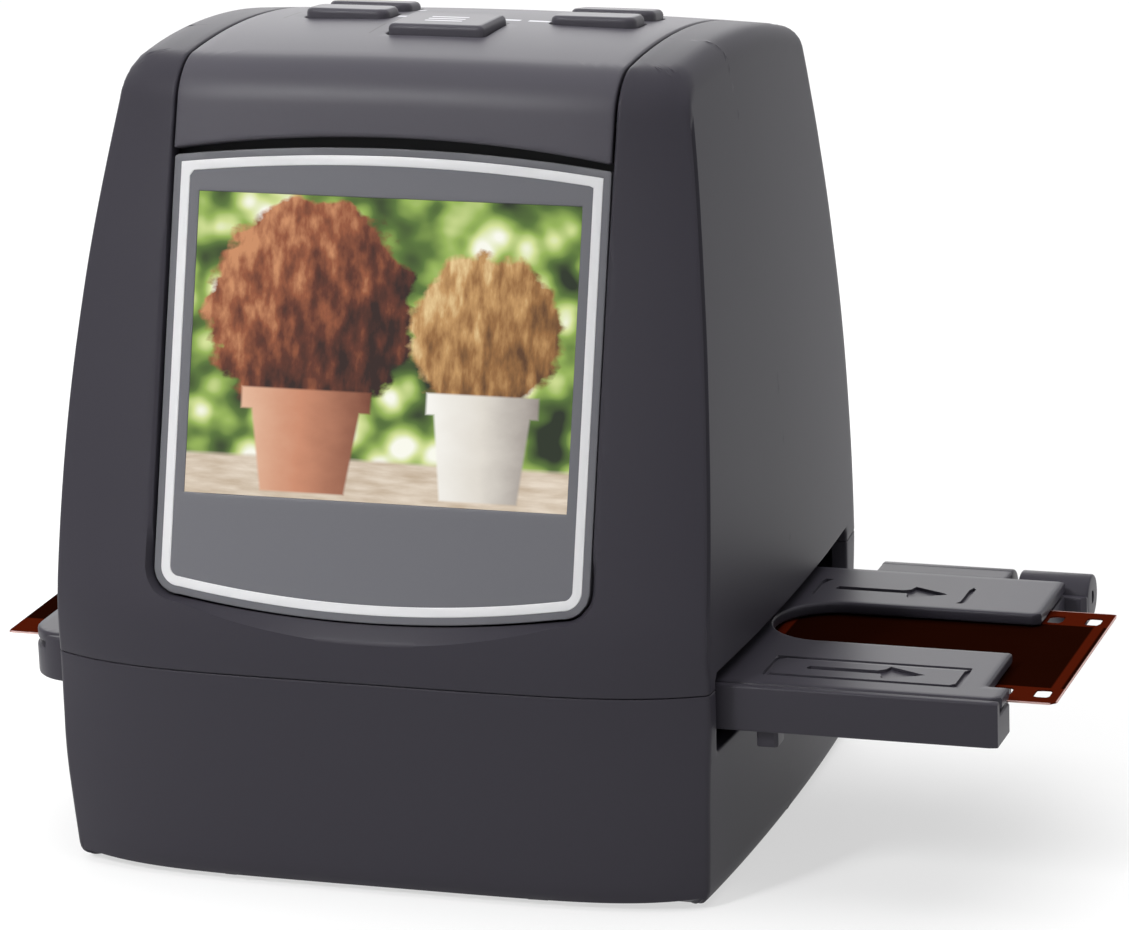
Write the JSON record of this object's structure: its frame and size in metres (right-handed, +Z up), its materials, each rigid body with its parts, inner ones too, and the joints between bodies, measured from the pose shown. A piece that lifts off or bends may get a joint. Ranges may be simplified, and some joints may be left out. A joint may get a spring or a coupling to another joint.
{
  "type": "film negative scanner",
  "caption": "Desktop film negative scanner: tapered two-part housing with a leaning display, top buttons, and a hinged film holder that slides through side slots over a light box.",
  "frame": {"origin": "middle of the flat underside of the lower shell, 0.5 mm above the table", "axes": "+X to the right, where the film holder is pulled out; -Y to the front, where the display faces; +Z up"},
  "size_m": [0.135, 0.0775, 0.1016],
  "materials": {
    "shell_plastic": "fine satin grain, dark charcoal grey",
    "button_plastic": "smooth satin, dark charcoal grey",
    "plate_plastic": "smooth low gloss, mid grey",
    "trim_silver": "bright silver paint",
    "display_glass": "lit picture behind a clear cover",
    "module_metal": "plain pressed metal",
    "inner_plastic": "matt black moulding",
    "board_green": "green solder mask",
    "chip_black": "black epoxy",
    "capacitor_sleeve": "blue-grey sleeve",
    "white_plastic": "white, diffusing",
    "led_phosphor": "pale yellow lens",
    "lens_glass": "coated glass",
    "ribbon_film": "amber polyimide",
    "steel": "plain steel",
    "foot_rubber": "black rubber",
    "tray_plastic": "satin, dark charcoal grey",
    "lid_plastic": "satin, charcoal grey",
    "film_base": "dark brown processed colour negative"
  },
  "bodies": {
    "housing": {"upper_shell": "shell_plastic", "lower_shell": "shell_plastic", "control_panel": "shell_plastic", "display_plate": "plate_plastic", "trim_line": "trim_silver", "display_glass": "display_glass", "display_module": "module_metal", "card_socket": "module_metal", "usb_socket": "module_metal", "display_bracket": "inner_plastic", "film_gate": "inner_plastic", "lower_path_plate": "inner_plastic", "optics_tower": "inner_plastic", "lens_barrel": "inner_plastic", "key_board": "board_green", "led_board": "board_green", "sensor_board": "board_green", "main_board": "board_green", "key_switches": "chip_black", "processor_chip": "chip_black", "memory_chip": "chip_black", "sensor_chip": "chip_black", "capacitors": "capacitor_sleeve", "diffuser": "white_plastic", "light_box": "white_plastic", "leds": "led_phosphor", "lens_lower": "lens_glass", "lens_upper": "lens_glass", "display_ribbon": "ribbon_film", "sensor_ribbon": "ribbon_film", "key_ribbon": "ribbon_film", "screws": "steel", "hold_down_springs": "steel", "foot_front_left": "foot_rubber", "foot_front_right": "foot_rubber", "foot_rear_left": "foot_rubber", "foot_rear_right": "foot_rubber"},
    "tray": {"holder_tray": "tray_plastic", "hinge_pin_left": "steel", "hinge_pin_right": "steel"},
    "lid": {"holder_lid": "lid_plastic"},
    "film": {"film_strip": "film_base"},
    "menu_button": {"button_menu": "button_plastic"},
    "left_front_button": {"button_left_front": "button_plastic"},
    "right_front_button": {"button_right_front": "button_plastic"},
    "left_rear_button": {"button_left_rear": "button_plastic"},
    "right_rear_button": {"button_right_rear": "button_plastic"}
  },
  "joints": [
    {"name": "holder_slide", "type": "slide", "parent": "housing", "child": "tray", "axis": [1, 0, 0], "range_m": [0, 0.09]},
    {"name": "lid_hinge", "type": "hinge", "parent": "tray", "child": "lid", "pos_m": [0, 0.021, 0.0244], "axis": [-1, 0, 0], "range_deg": [0, 1.5]},
    {"name": "film_slide", "type": "slide", "parent": "tray", "child": "film", "axis": [1, 0, 0], "range_m": [-0.038, 0.038]},
    {"name": "menu_press", "type": "slide", "parent": "housing", "child": "menu_button", "axis": [0, 0, -1], "range_m": [0, 0.0006], "stiffness_N_per_m": 1500},
    {"name": "left_front_press", "type": "slide", "parent": "housing", "child": "left_front_button", "axis": [0, 0, -1], "range_m": [0, 0.0006], "stiffness_N_per_m": 1500},
    {"name": "right_front_press", "type": "slide", "parent": "housing", "child": "right_front_button", "axis": [0, 0, -1], "range_m": [0, 0.0006], "stiffness_N_per_m": 1500},
    {"name": "left_rear_press", "type": "slide", "parent": "housing", "child": "left_rear_button", "axis": [0, 0, -1], "range_m": [0, 0.0006], "stiffness_N_per_m": 1500},
    {"name": "right_rear_press", "type": "slide", "parent": "housing", "child": "right_rear_button", "axis": [0, 0, -1], "range_m": [0, 0.0006], "stiffness_N_per_m": 1500}
  ]
}
